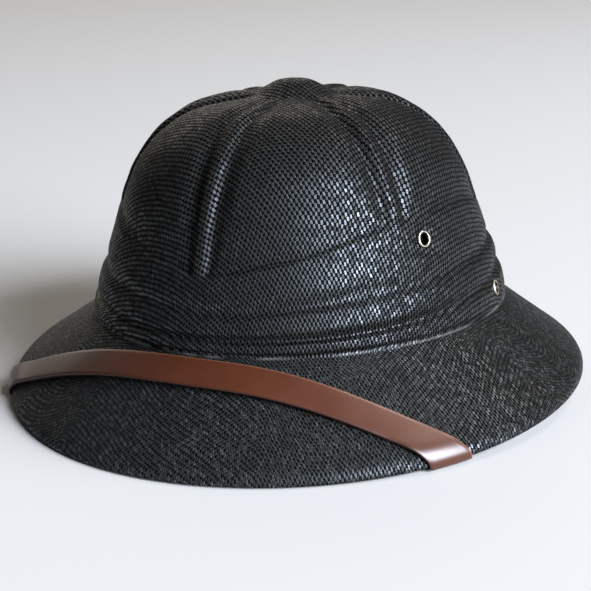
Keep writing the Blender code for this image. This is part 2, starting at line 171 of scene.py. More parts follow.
# Rows of the fine sheet: level where a stretch starts, rows in it; levels as above, 4 the top's middle, -1
# the lip's bend, -2 the edge. A third of the crown's columns lie on the ribs, a third within CROWD_BESIDE of
# a sector beside them and a third on the panels; below the foot they even out within CROWD_END levels
STRETCHES = (
    (4.00, 5), (3.88, 9), (3.70, 12), (3.40, 15), (3.12, 12), (3.00, 6), (2.85, 8), (2.25, 8), (1.75, 9),
    (1.20, 9), (0.75, 8), (0.25, 6), (0.00, 5), (-0.12, 14), (-0.80, 8), (-1.00, 6), (-2.00, 0),
)
COLUMNS = 336
CROWD_BESIDE = 0.1
CROWD_END = 0.25

# Small steps, by which slopes are measured in radians or shares
NUDGE = 1e-3
BRIM_NUDGE = 1e-4

# Eyelets: place along the side, angle from the front, level; then their sizes in millimetres
EYELETS = (
    ("front", 68.0, 2.61),
    ("rear", 98.0, 0.58),
)
EYELET_FLANGE = 4.0
EYELET_BORE = 2.5
EYELET_WALL = 0.45
EYELET_SEAT = 1.3
EYELET_SEAT_RIM = 0.5
EYELET_SEAT_SLOPE = 4.0
EYELET_SIDES = 48
EYELET_PETALS = 7
EYELET_TUCK = 0.3
EYELET_DRILL = 16.0
EYELET_ROLL = 0.45
RUB_START = 0.3
RUB_RUN = 0.25

# Petals of the clenched rim: out from the bore, height, share of the full width; then across, as shares
PETAL = (
    (0.02, 0.35, 1.0),
    (0.35, 0.0, 0.98),
    (0.90, 0.02, 0.86),
    (0.90, 0.42, 0.55),
)
PETAL_ACROSS = (-1, -0.5, 0, 0.5, 1)
PETAL_WIDTH = 0.86
PETAL_THICK = 0.3
PETAL_RUB = 0.6

# Points nearer to each other than this are one, in metres, first as a profile is turned
TURN_MERGE = 1e-5
SAME_POINT = 1e-6

# Chin strap in millimetres. From above, its middle line crosses STRAP_AHEAD before the crown in a round bend
# and then falls back by STRAP_RISE a millimetre towards the wearer's left (1) and right (-1)
STRAP_WIDTH = 15.0
STRAP_THICK = 1.8
STRAP_AHEAD = 8.2
STRAP_RISE = {1: 0.33, -1: 0.53}
STRAP_ROUND = {1: 38.0, -1: 71.0}
STRAP_TURN = 0.6
STRAP_FRONT_LIFT = 2.2
STRAP_EDGE_SLANT = 0.3
STRAP_BEND_GAP = 0.36
STRAP_LIP_SHARES = (0.25, 0.5, 0.75, 1.0)
STRAP_UNDER_STEPS = 24
STRAP_END_STEPS = 10
STRAP_FOOT_DROP = 1.0
STRAP_FOOT_Y = -6.0
STRAP_FOOT_SPREAD = 15.0
STRAP_END_LAP = 9.0
STRAP_HOLD = 0.6
STRAP_STEPS = 72
STRAP_LINES = 9
STRAP_CORNER = 0.4
STRAP_CORNER_ANGLE = 60.0
CLEAR = 0.3

# Where the strap folds under the brim's edge: run along the edge, way out from the lip, drop
STRAP_FOLD = (
    (0.6, 0.03, 0.45),
    (2.2, -2.0, 0.45),
)

# Search for the strap's line: shares of the brim and halvings, then degrees from the front and steps
STRAP_SHARES = (-0.2, 1.6)
STRAP_HALVINGS = 24
STRAP_FAN = 75.0
STRAP_FAN_STEPS = 61

# The strap's curl at the lip: steps that it takes on the brim and past the lip, its lift, smoothing passes
STRAP_CURL = 4.5
STRAP_CURL_BELOW = 2.0
STRAP_CURL_LIFT = 1.9
STRAP_CURL_PASSES = 12

# Weave: the cloth lies turned on the hat, its warp finer than its weft; in metres and degrees. Depth, lean,
# tilt, wander and length are shares of a strand, the powers say how flat floats and backs are, and
# BRIM_CLOSED is how far the gaps close on the brim
WARP = 1.5 * MM
WEFT = 1.9 * MM
CLOTH_TURN = 33.0
STRAND_RISE = 0.66 * MM
WEFT_DEPTH = 0.15
STRAND_LEAN = 0.10
STRAND_TILT = 0.28
STRAND_TILT_BRIM = 0.36
STRAND_WANDER = 1.25
WANDER_RUN = 8 * MM
FLOAT_LONGER = 0.35
FLOAT_POWER = 0.35
BACK_POWER = 0.45
PATCH_RUN = 30 * MM
BRIM_CLOSED = 0.45

# Names of maps and attributes; PRESS_VALUES are those that the press reads for its relief
WEAVE_MAP = "weave"
CREASE = "crease"
CLOSED = "closed"
RUBBED = "rubbed"
STRIP_MAP = "strip"
PRESS_VALUES = ("rib_share", "inset", "border", "band", "over_band", "kept", "fade")

# Inputs of the press, in metres
PRESS_SIZES = {
    "Rib height": RIB_RELIEF * MM,
    "Groove height": GROOVE_RELIEF * MM,
    "Panel height": PANEL_RELIEF * MM,
    "Panel slope": PANEL_SLOPE * MM,
    "Border height": BORDER_RELIEF * MM,
    "Seat height": EYELET_SEAT * MM,
    "Unevenness": UNEVEN * MM,
    "Wrinkles": WRINKLES * MM,
}

# Leather: where the edge's colour starts and is full, counted from the edge, painted shade along the front
# edge and the pale raw edge at the rear; size of clouds, fine wrinkles and pores, and depth of the grain.
# Brass: size of its tarnish
EDGE_SHADE_AND_RAW_EDGE = (0.9 * MM, 0.1 * MM)
CLOUD_SIZE = 20 * MM
CREPE_SIZE = 3 * MM
PORE_GAP = 0.35 * MM
GRAIN_DEPTH = 0.12 * MM
TARNISH_SIZE = 1.5 * MM

# Camera: where it looks and how far off it stands in metres, angles in degrees, lens and sensor in mm
LOOK_AT = (0.0, -0.0122, 0.0420)
CAMERA_AWAY = 0.7572
CAMERA_AZIMUTH = 26.32
CAMERA_ELEVATION = 16.13
CAMERA_ROLL = -1.18
CAMERA_LENS = 90.2
CAMERA_SENSOR = 36.0

# Softboxes: azimuth and elevation in degrees, distance and size in metres, power, colour
SOFTBOXES = (
    ("side_softbox", 74.0, 22.0, 5.0, 3.1, 1270.0, "#e9f1ff"),
    ("back_softbox", 221.0, 27.0, 4.5, 3.6, 49.0, "#fff4e6"),
    ("top_softbox", 142.0, 55.0, 4.5, 1.3, 60.0, "#fff9f2"),
)
LIT_PLACE = (0.0, 0.0, 0.07)
ROOM_LIGHT = 0.05
FLOOR_HALF = 8.0


def smooth(table, column, x):
    """Reads one column of a table at x by a cubic that never overshoots its rows."""
    xs = np.array([row[0] for row in table], float)
    ys = np.array([row[column] for row in table], float)
    run = np.diff(xs)
    rise = np.diff(ys) / run
    slope = np.zeros(len(xs))
    slope[0], slope[-1] = rise[0], rise[-1]
    same = rise[:-1] * rise[1:] > 0
    slope[1:-1][same] = 2 * rise[:-1][same] * rise[1:][same] / (rise[:-1][same] + rise[1:][same])
    x = np.clip(x, xs[0], xs[-1])
    i = np.clip(np.searchsorted(xs, x, side="right") - 1, 0, len(run) - 1)
    t = (x - xs[i]) / run[i]
    a = (1 + 2 * t) * (1 - t) ** 2 * ys[i] + t * t * (3 - 2 * t) * ys[i + 1]
    return a + run[i] * (t * (1 - t) ** 2 * slope[i] - t * t * (1 - t) * slope[i + 1])


def ring(table, column, angle):
    """Reads a table of evenly spaced angles, the same on the left and right, by a cosine series."""
    a = np.radians([row[0] for row in table])
    k = np.arange(len(a))
    part = np.linalg.solve(np.cos(np.outer(a, k)), [row[column] for row in table])
    return np.cos(np.outer(np.atleast_1d(angle), k)) @ part


def ease(x):
    """Runs from 0 to 1 with level ends."""
    x = np.clip(x, 0, 1)
    return x * x * (3 - 2 * x)


def foot_height(angle):
    """Height of the crown's foot, a little lifted at the front and low at the back."""
    return FOOT_FRONT_LIFT * np.cos(angle) - FOOT_SADDLE * np.cos(2 * angle)


SECTION_STEPS = tuple((float(i), up, out) for i, (up, out) in enumerate(SECTION))
SECTION_BACK = tuple((up, float(i)) for i, (up, out) in enumerate(SECTION))
LAST_SLOPE = len(SECTION) - 1.02  # the top's middle has no slope of its own


def section_step(level, angle):
    """Turns a level of the crown into a step along its section, through the band's three lines."""
    turn = np.degrees(np.abs(np.angle(np.exp(1j * angle))))
    foot = foot_height(angle)
    marks = [np.zeros_like(turn)]
    for column in (1, 2, 3):
        over = smooth(BAND, column, turn)
        share = over / (CROWN_RISE - foot * (2 - over / CROWN_RISE))
        marks.append(smooth(SECTION_BACK, 1, share))
    marks.append(np.full_like(turn, len(SECTION) - 1.0))
    marks = np.array(marks)
    low = np.clip(np.floor(level).astype(int), 0, 3)
    pick = np.arange(len(turn))
    return marks[low, pick] + (marks[low + 1, pick] - marks[low, pick]) * (level - low)


def crown_plain(step, angle):
    """Point of the crown without its pressed relief."""
    up = smooth(SECTION_STEPS, 1, step)
    out = smooth(SECTION_STEPS, 2, step)
    round_up = ease((out - ROUND_OUT) / ROUND_RUN)
    middle = (CROWN_HALF_WIDTH + CROWN_HALF_LENGTH) / 2
    half_x = middle + (CROWN_HALF_WIDTH - middle) * round_up
    half_y = middle + (CROWN_HALF_LENGTH - middle) * round_up
    over = np.clip(1 - up, 0, 1)
    x = half_x * out * np.sin(angle)
    y = -half_y * out * np.cos(angle) - TOP_FORWARD * up
    z = foot_height(angle) * over ** 2 + CROWN_RISE * up
    return np.stack([x, y, z], -1)


def crown_normal(step, angle):
    """Outward normal of the plain crown."""
    along = crown_plain(step, angle + NUDGE) - crown_plain(step, angle - NUDGE)
    above = crown_plain(np.minimum(step + NUDGE, LAST_SLOPE), angle)
    below = crown_plain(np.maximum(step - NUDGE, 0), angle)
    n = np.cross(along, above - below)
    return n / np.maximum(np.linalg.norm(n, axis=-1, keepdims=True), 1e-12)


def rib_half_angle(level):
    """Half the angle a rib takes, wider near the top where the ribs meet."""
    share = ease((level - PANEL_LEVEL) / RIB_WIDENING)
    return np.radians(RIB_HALF_ANGLE_LOW + (RIB_HALF_ANGLE_HIGH - RIB_HALF_ANGLE_LOW) * share)


def crown_spot(level, angle):
    """One point of the plain crown and the normal there."""
    angle = np.full(1, angle)
    step = section_step(np.full(1, level), angle)
    return crown_plain(step, angle)[0], crown_normal(step, angle)[0]


def kept_relief(level, angle):
    """Share of the relief that is kept, 0 on the flat seat round each eyelet."""
    keep = np.ones(len(angle))
    side = np.abs(np.angle(np.exp(1j * angle)))
    here = crown_plain(section_step(level, angle), side)
    for _, turn, mark in EYELETS:
        away = np.linalg.norm(here - crown_spot(mark, math.radians(turn))[0], axis=-1)
        keep *= ease((away - EYELET_FLANGE - EYELET_SEAT_RIM) / EYELET_SEAT_SLOPE)
    return keep


def brim_plain(share, angle):
    """Point of the brim's upper face; share 1 is the bend of the lip."""
    start = np.zeros_like(angle)
    foot = crown_plain(start, angle) + crown_normal(start, angle) * BAND_RELIEF[0][1]
    wide = ring(BRIM, 1, angle) - LIP_OUT
    drop = ring(BRIM, 2, angle) - LIP
    down = drop * ((1 - BRIM_HOLLOW) * share + BRIM_HOLLOW * share ** 2)
    point = foot + outward(angle) * (wide * share)[:, None]
    point[:, 2] -= down
    return point


def brim_normal(share, angle):
    """Upward normal of the brim."""
    along = brim_plain(share, angle + BRIM_NUDGE) - brim_plain(share, angle - BRIM_NUDGE)
    inward = brim_plain(share - BRIM_NUDGE, angle) - brim_plain(share + BRIM_NUDGE, angle)
    n = np.cross(along, inward)
    return n / np.linalg.norm(n, axis=-1, keepdims=True)


def lip_point(share, angle):
    """Point of the lip's outer face, share 0 at its bend and 1 at the edge."""
    out = LIP_OUT * (1 - (1 - share) ** 2)
    point = brim_plain(np.ones_like(angle), angle) + outward(angle) * out[:, None]
    point[:, 2] -= LIP * share
    return point


def outward(angle):
    """Level direction square to the crown's foot."""
    nx, ny = np.sin(angle) / CROWN_HALF_WIDTH, -np.cos(angle) / CROWN_HALF_LENGTH
    size = np.hypot(nx, ny)
    return np.stack([nx / size, ny / size, np.zeros_like(nx)], -1)


def plain_sheet(level, angle):
    """Points of the unpressed sheet along one row, and the way in which the press moves them."""
    if level >= 0:
        step = section_step(np.full_like(angle, level), angle)
        return crown_plain(step, angle), crown_normal(step, angle)
    if level >= -1:
        share = np.full_like(angle, -level)
        return brim_plain(share, angle), brim_normal(share, angle)
    return lip_point(np.full_like(angle, -level - 1), angle), outward(angle)


def crowd(angle, level):
    """Moves the crown's columns towards the ribs, so that each rib and groove has columns of its own."""
    sector = 2 * math.pi / RIB_COUNT
    whole = np.round(angle / sector)
    off = angle / sector - whole
    half = float(rib_half_angle(np.full(1, level))[0]) / sector
    even = np.array([0, 1 / 6, 1 / 3, 1 / 2])
    there = np.array([0, half, half + CROWD_BESIDE, 0.5])
    there += (even - there) * float(ease(-level / CROWD_END))
    return (whole + np.sign(off) * np.interp(np.abs(off), even, there)) * sector


def sheet_levels():
    """Levels of the fine sheet's rows, from the top's middle to the edge."""
    levels = []
    for (start, rows), (end, _) in zip(STRETCHES, STRETCHES[1:]):
        levels += [start + (end - start) * i / rows for i in range(rows)]
    return levels + [STRETCHES[-1][0]]


def place(points):
    """Turns millimetres in the blocking frame into metres in the row frame."""
    turns = np.radians(np.arange(0.0, 360.5, 0.5))
    front = lip_point(np.ones_like(turns), turns)[:, 1].min()
    low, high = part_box("straw_body")
    top = SECTION[-1][0] * CROWN_RISE
    return np.asarray(points) * MM + np.array([0.0, low[1] - front * MM, high[2] - top * MM])


def linear(hexed):
    """A linear colour from an sRGB hex value."""
    parts = [int(hexed[i:i + 2], 16) / 255 for i in (1, 3, 5)]
    return tuple(c / 12.92 if c <= 0.04045 else ((c + 0.055) / 1.055) ** 2.4 for c in parts) + (1.0,)


def add(tree, kind, inputs=(), operation=None, out=0, **settings):
    """Adds a node with its operation, settings, values and links, and gives one of its outputs."""
    node = tree.nodes.new(kind)
    if operation:
        node.operation = operation
    for name, value in settings.items():
        setattr(node, name, value)
    for name, value in dict(inputs).items():
        if isinstance(value, bpy.types.NodeSocket):
            tree.links.new(value, node.inputs[name])
        else:
            node.inputs[name].default_value = value
    return node.outputs[out]


def surface(name, **values):
    """A material with the values of its Principled shader."""
    made = bpy.data.materials.new(name)
    made.use_nodes = True
    shader = made.node_tree.nodes["Principled BSDF"]
    for key, value in values.items():
        shader.inputs[key.replace("_", " ")].default_value = value
    return made, made.node_tree, shader


def woven_paper_straw():
    """Plain weave of twisted black paper strands, pressed hot: the warp's backs stand proud and take thin cool
    lights along each float, the weft lies deeper and duller and is painted darker as painted shade, and the
    gaps between strands are painted near black as painted shade."""
    made, tree, shader = surface(
        "woven_black_paper_straw", IOR=1.5, Specular_IOR_Level=0.3, Specular_Tint=linear("#dfe9f2")
    )
    cloth = add(tree, "ShaderNodeUVMap", uv_map=WEAVE_MAP)
    # The strands wander to either side of their lines by up to about half their width
    drift = add(
        tree, NOISE, {"Vector": cloth, "Scale": 1 / WANDER_RUN, "Detail": 3.0, "Roughness": 0.75}, out=1
    )
    drift = add(tree, VECTOR, {0: drift, 1: (0.5,) * 3}, "SUBTRACT")
    moved = add(tree, VECTOR, {0: drift, 1: (WARP * STRAND_WANDER,) * 3, 2: cloth}, "MULTIPLY_ADD")
    strands = add(tree, VECTOR, {0: moved, 1: (1 / WARP, 1 / WEFT, 1.0)}, "MULTIPLY")
    # The twist of the paper makes every float lie aslant
    lean = add(tree, VECTOR, {0: strands, "Scale": 2 * math.pi}, "SCALE")
    lean = add(tree, VECTOR, {0: lean}, "SINE")
    lean = add(tree, "ShaderNodeSeparateXYZ", {0: lean}).node.outputs["Y"]
    lean = add(tree, "ShaderNodeCombineXYZ", {"X": lean})
    strands = add(tree, VECTOR, {0: lean, 1: (STRAND_LEAN,) * 3, 2: strands}, "MULTIPLY_ADD")
    swing = add(tree, VECTOR, {0: strands, "Scale": math.pi}, "SCALE")
    swing = add(tree, VECTOR, {0: swing}, "SINE")
    size = add(tree, VECTOR, {0: swing}, "ABSOLUTE")
    split = add(tree, "ShaderNodeSeparateXYZ", {0: swing}).node
    backs = add(tree, "ShaderNodeSeparateXYZ", {0: size}).node
    heights = []
    for mine, other, way, depth in (("X", "Y", 1.0, 0.0), ("Y", "X", -1.0, WEFT_DEPTH)):
        parity = add(tree, MATH, {0: split.outputs[mine]}, "SIGN")
        parity = add(tree, MATH, {0: parity, 1: way}, "MULTIPLY")
        lift = add(tree, MATH, {0: parity, 1: split.outputs[other], 2: way * FLOAT_LONGER}, "MULTIPLY_ADD")
        above = add(tree, MATH, {0: lift}, "SIGN")
        lift = add(tree, MATH, {0: lift}, "ABSOLUTE")
        lift = add(tree, MATH, {0: lift, 1: FLOAT_POWER}, "POWER")
        back = add(tree, MATH, {0: backs.outputs[mine], 1: BACK_POWER}, "POWER")
        rise = add(tree, MATH, {0: above, 1: lift, 2: back}, "MULTIPLY_ADD")
        heights.append(add(tree, MATH, {0: rise, 1: 0.5, 2: -depth}, "MULTIPLY_ADD"))
    height = add(tree, MATH, {0: heights[0], 1: heights[1]}, "MAXIMUM")
    on_warp = add(tree, MATH, {0: heights[0], 1: heights[1]}, "GREATER_THAN")
    # Each float has its own shade, and the dye is patchy
    count = add(tree, VECTOR, {0: strands}, "FLOOR")
    chance = add(tree, "ShaderNodeTexWhiteNoise", {"Vector": count}, noise_dimensions="2D")
    patch = add(tree, NOISE, {"Vector": cloth, "Scale": 1 / PATCH_RUN, "Detail": 3.0})
    shade = add(tree, MATH, {0: chance, 1: 0.7, 2: patch}, "MULTIPLY_ADD")
    warp = add(tree, MIX, {0: shade, 6: linear("#090806"), 7: linear("#161410")}, **TINTED)
    # The weft is painted darker than the warp: painted shade, for the weft lying deeper under the floats
    paper = add(tree, MIX, {0: on_warp, 6: linear("#030303"), 7: warp}, **TINTED)
    open_up = add(tree, RANGE, {0: height, 1: 0.48, 2: 0.80, 3: 0.0, 4: 1.0})
    # The brim is pressed harder: its gaps are nearly half closed, and its weft is a little glossier
    closed = add(tree, "ShaderNodeAttribute", attribute_name=CLOSED, out=2)
    closed = add(tree, MATH, {0: closed, 1: BRIM_CLOSED}, "MULTIPLY")
    open_up = add(tree, MIX, {0: closed, 2: open_up, 3: 1.0})
    on_weft = add(tree, MIX, {0: closed, 2: 0.04, 3: 0.10})
    # Some of the brim's floats, picked at random, are painted paler: painted glints
    pale = add(tree, RANGE, {0: chance, 1: 0.65, 2: 1.0, 3: 0.0, 4: closed})
    paper = add(tree, MIX, {0: pale, 6: paper, 7: linear("#3b3b38")}, **TINTED)
    # The gaps between the strands are painted near black: painted shade in the holes of the weave
    colour = add(tree, MIX, {0: open_up, 6: linear("#020202"), 7: paper}, **TINTED)
    # A thin pale line is painted along the crease at the crown's foot, broken into patches: a painted highlight
    # where the crease catches the light
    crease_highlight = add(tree, "ShaderNodeAttribute", attribute_name=CREASE, out=2)
    wear_and_crease_light = add(tree, RANGE, {0: patch, 1: 0.42, 2: 0.62, 3: 0.0, 4: 0.4})
    crease_highlight = add(tree, MATH, {0: crease_highlight, 1: wear_and_crease_light}, "MULTIPLY")
    colour = add(tree, MIX, {0: crease_highlight, 6: colour, 7: linear("#6e6d69")}, **TINTED)
    tree.links.new(colour, shader.inputs["Base Color"])
    sleek = add(tree, RANGE, {0: shade, 1: 0.3, 2: 1.2, 3: 0.54, 4: 0.38})
    rough = add(tree, MIX, {0: on_warp, 2: 0.55, 3: sleek})
    rough = add(tree, MIX, {0: open_up, 2: 0.8, 3: rough})
    tree.links.new(rough, shader.inputs["Roughness"])
    # A few floats in each handful are glossier than the rest
    spark = add(tree, MATH, {0: chance, 1: 1.5}, "POWER")
    sized = add(tree, RANGE, {0: spark, 1: 0.0, 2: 1.0, 3: 0.24, 4: 0.80})
    gloss = add(tree, MIX, {0: on_warp, 2: on_weft, 3: sized})
    gloss = add(tree, MATH, {0: gloss, 1: open_up}, "MULTIPLY")
    tree.links.new(gloss, shader.inputs["Specular IOR Level"])
    # The hot press flattens the floats, and leaves each at a small tilt of its own
    flat = add(tree, RANGE, {0: height, 1: 0.15, 2: 0.84, 3: 0.0, 4: 1.0}, interpolation_type="SMOOTHSTEP")
    tilt = add(tree, VECTOR, {0: chance.node.outputs["Color"], 1: (0.5,) * 3}, "SUBTRACT")
    within = add(tree, VECTOR, {0: strands, 1: count}, "SUBTRACT")
    tilt = add(tree, VECTOR, {0: tilt, 1: within}, "DOT_PRODUCT", out=1)
    steep = add(tree, RANGE, {0: closed, 1: 0.0, 2: BRIM_CLOSED, 3: STRAND_TILT, 4: STRAND_TILT_BRIM})
    flat = add(tree, MATH, {0: tilt, 1: steep, 2: flat}, "MULTIPLY_ADD")
    bump = add(tree, "ShaderNodeBump", {"Strength": 1.0, "Distance": STRAND_RISE, "Height": flat})
    tree.links.new(bump, shader.inputs["Normal"])
    return made


def smooth_strap_leather():
    """Brown strap leather, smooth side up, waxed: a satin gloss over faint clouds of colour. Its front edge is
    painted dark, painted shade along the edge that stands off the brim, and its rear edge is left pale and raw."""
    made, tree, shader = surface("smooth_brown_strap_leather", IOR=1.5)
    strip = add(tree, "ShaderNodeUVMap", uv_map=STRIP_MAP)
    clouds = add(tree, NOISE, {"Vector": strip, "Scale": 1 / CLOUD_SIZE, "Detail": 4.0, "Roughness": 0.6})
    hide = add(tree, RANGE, {0: clouds, 1: 0.3, 2: 0.7, 3: 0.0, 4: 1.0})
    face = add(tree, MIX, {0: hide, 6: linear("#3a1b0d"), 7: linear("#411f11")}, **TINTED)
    across = add(tree, "ShaderNodeSeparateXYZ", {0: strip}).node.outputs["Y"]
    away = add(tree, MATH, {0: across}, "ABSOLUTE")
    starts, ends = (STRAP_WIDTH * MM / 2 - inside for inside in EDGE_SHADE_AND_RAW_EDGE)
    edge = add(tree, RANGE, {0: away, 1: starts, 2: ends, 3: 0.0, 4: 1.0})
    # Dark front edge: painted shade along the lifted front edge. Pale rear edge: the leather's raw edge
    rear = add(tree, MATH, {0: across, 1: 0.0}, "GREATER_THAN")
    front_shade_and_rear_edge = add(tree, MIX, {0: rear, 6: linear("#2b150d"), 7: linear("#64402f")}, **TINTED)
    colour = add(tree, MIX, {0: edge, 6: face, 7: front_shade_and_rear_edge}, **TINTED)
    tree.links.new(colour, shader.inputs["Base Color"])
    # Pores of the grain side over fine wrinkles
    pores = add(tree, "ShaderNodeTexVoronoi", {"Vector": strip, "Scale": 1 / PORE_GAP})
    crepe = add(tree, NOISE, {"Vector": strip, "Scale": 1 / CREPE_SIZE, "Detail": 3.0})
    grain = add(tree, MATH, {0: pores, 1: 0.4, 2: crepe}, "MULTIPLY_ADD")
    bump = add(tree, "ShaderNodeBump", {"Strength": 0.25, "Distance": GRAIN_DEPTH, "Height": grain})
    tree.links.new(bump, shader.inputs["Normal"])
    rough = add(tree, RANGE, {0: clouds, 1: 0.2, 2: 0.8, 3: 0.31, 4: 0.38})
    tree.links.new(rough, shader.inputs["Roughness"])
    return made


def antique_brass():
    """Stamped brass, lacquered once and dulled since: pale gold on the rolled rim, brown in its lows."""
    made, tree, shader = surface("antique_stamped_brass", Metallic=1.0, Roughness=0.32)
    where = add(tree, "ShaderNodeTexCoord", out=3)
    tarnish = add(tree, NOISE, {"Vector": where, "Scale": 1 / TARNISH_SIZE, "Detail": 3.0})
    dull = add(tree, RANGE, {0: tarnish, 1: 0.45, 2: 0.75, 3: 0.0, 4: 1.0})
    rubbed = add(tree, "ShaderNodeAttribute", attribute_name=RUBBED, out=2)
    colour = add(tree, MIX, {0: dull, 6: linear("#d3ccbc"), 7: linear("#9c9178")}, **TINTED)
    colour = add(tree, MIX, {0: rubbed, 6: linear("#1f1b14"), 7: colour}, **TINTED)
    tree.links.new(colour, shader.inputs["Base Color"])
    rough = add(tree, RANGE, {0: tarnish, 1: 0.3, 2: 0.8, 3: 0.26, 4: 0.5})
    tree.links.new(rough, shader.inputs["Roughness"])
    return made


def pale_paper_floor():
    """Matt pale grey background paper, on which only the hat's soft shadow shows."""
    return surface("matt_background_paper", Base_Color=linear("#b4b2ae"), Roughness=0.9)[0]


def new_mesh(name, points, edges, faces):
    """A mesh of points in metres."""
    mesh = bpy.data.meshes.new(name)
    mesh.from_pydata(np.asarray(points).tolist(), edges, faces)
    mesh.update()
    return mesh


def grid_faces(rows, columns):
    """Faces of a grid whose points are listed row by row."""
    firsts = [i * columns + j for i in range(rows - 1) for j in range(columns - 1)]
    return [(k, k + 1, k + columns + 1, k + columns) for k in firsts]


def vertex_places(mesh):
    """Places of a mesh's vertices, one a row."""
    flat = np.empty(len(mesh.vertices) * 3)
    mesh.vertices.foreach_get("co", flat)
    return flat.reshape(-1, 3)


def lay_map(mesh, name, places):
    """Lays a UV map on a mesh from a place for each vertex."""
    corner = np.empty(len(mesh.loops), int)
    mesh.loops.foreach_get("vertex_index", corner)
    mesh.uv_layers.new(name=name).data.foreach_set("uv", places[corner].astype("f").ravel())


def store(mesh, name, values, kind="FLOAT"):
    """Stores one value for each vertex under a name."""
    held = mesh.attributes.new(name, kind, "POINT").data
    field = "vector" if kind == "FLOAT_VECTOR" else "value"
    held.foreach_set(field, np.ascontiguousarray(values, "f").ravel())


def new_piece(name, data):
    """Adds a mesh, a lamp or a lens to the scene as an object."""
    made = bpy.data.objects.new(name, data)
    bpy.context.scene.collection.objects.link(made)
    return made


def modify(piece, name, kind, **settings):
    """Puts a modifier with its settings on a piece."""
    made = piece.modifiers.new(name, kind)
    for key, value in settings.items():
        setattr(made, key, value)
    return made


def settle(piece):
    """Replaces a piece's mesh by what its modifiers make of it."""
    bpy.context.view_layer.update()
    shaped = piece.evaluated_get(bpy.context.evaluated_depsgraph_get())
    final = bpy.data.meshes.new_from_object(shaped)
    piece.modifiers.clear()
    piece.data = final
    return piece


def node_tree(name, sizes):
    """A Geometry Nodes tree with named sizes, its inputs as they arrive, and its last node."""
    tree = bpy.data.node_groups.new(name, "GeometryNodeTree")
    tree.interface.new_socket("Geometry", in_out="INPUT", socket_type="NodeSocketGeometry")
    for size in sizes:
        tree.interface.new_socket(size, in_out="INPUT", socket_type="NodeSocketFloat")
    tree.interface.new_socket("Surface", in_out="INPUT", socket_type="NodeSocketMaterial")
    tree.interface.new_socket("Geometry", in_out="OUTPUT", socket_type="NodeSocketGeometry")
    return tree, tree.nodes.new("NodeGroupInput").outputs, tree.nodes.new("NodeGroupOutput")


def finish_tree(tree, given, end, geometry):
    """Ends a tree in Realize Instances and Set Material."""
    whole = add(tree, "GeometryNodeRealizeInstances", {0: geometry})
    skinned = add(tree, "GeometryNodeSetMaterial", {"Geometry": whole, "Material": given["Surface"]})
    tree.links.new(skinned, end.inputs[0])


def run_tree(piece, tree, values):
    """Puts a tree on a piece, with its inputs set by their identifiers."""
    modifier = modify(piece, tree.name, "NODES", node_group=tree)
    for item in tree.interface.items_tree:
        if item.in_out == "INPUT" and item.name in values:
            modifier[item.identifier] = values[item.name]


def pressing_tree():
    """Presses ribs, grooves, pillowed panels and band folds into the plain sheet, then softens its bends."""
    tree, given, end = node_tree("press", PRESS_SIZES)
    read = {name: add(tree, ATTRIBUTE, {"Name": name}) for name in (*PRESS_VALUES, "soft")}
    way = add(tree, ATTRIBUTE, {"Name": "way"}, data_type="FLOAT_VECTOR")
    groove = given["Groove height"]
    rib = add(
        tree, RANGE, {0: read["rib_share"], 1: 0.15, 2: 1.05, 3: given["Rib height"], 4: groove},
        interpolation_type="SMOOTHSTEP",
    )
    rim = add(tree, MIX, {0: read["border"], 2: groove, 3: given["Border height"]})
    panel = add(
        tree, RANGE, {0: read["inset"], 1: 0.0, 2: given["Panel slope"], 3: rim, 4: given["Panel height"]},
        interpolation_type="SMOOTHSTEP",
    )
    on_rib = add(tree, MATH, {0: read["rib_share"], 1: 1.0}, "LESS_THAN")
    upper = add(tree, MIX, {0: on_rib, 2: panel, 3: rib})
    relief = add(tree, MIX, {0: read["over_band"], 2: read["band"], 3: upper})
    seated = add(tree, MIX, {0: read["kept"], 2: given["Seat height"], 3: relief})
    faded = add(tree, MATH, {0: seated, 1: read["fade"]}, "MULTIPLY")
    # Hand blocking leaves the sheet uneven, and draws it into shallow wrinkles that run round the hat
    here = add(tree, "GeometryNodeInputPosition")
    uneven = 0.0
    for name, size, stretch, detail in UNEVEN_NOISES:
        tall = add(tree, VECTOR, {0: here, 1: (1.0, 1.0, stretch)}, "MULTIPLY")
        noise = add(tree, NOISE, {"Vector": tall, "Scale": 1 / (size * MM), "Detail": detail})
        rough = add(tree, MATH, {0: noise, 1: 0.5}, "SUBTRACT")
        uneven = add(tree, MATH, {0: rough, 1: given[name], 2: uneven}, "MULTIPLY_ADD")
    uneven = add(tree, MATH, {0: uneven, 1: read["fade"], 2: faded}, "MULTIPLY_ADD")
    move = add(tree, VECTOR, {0: way, "Scale": uneven}, "SCALE")
    pressed = add(tree, "GeometryNodeSetPosition", {"Geometry": given["Geometry"], "Offset": move})
    # On the pressed sheet the same position node reads the pressed places
    blurred = add(
        tree, "GeometryNodeBlurAttribute",
        {"Value": here, "Iterations": SOFT_PASSES, "Weight": read["soft"]}, data_type="FLOAT_VECTOR",
    )
    softened = add(tree, "GeometryNodeSetPosition", {"Geometry": pressed, "Position": blurred})
    sleek = add(tree, "GeometryNodeSetShadeSmooth", {"Geometry": softened})
    finish_tree(tree, given, end, sleek)
    return tree


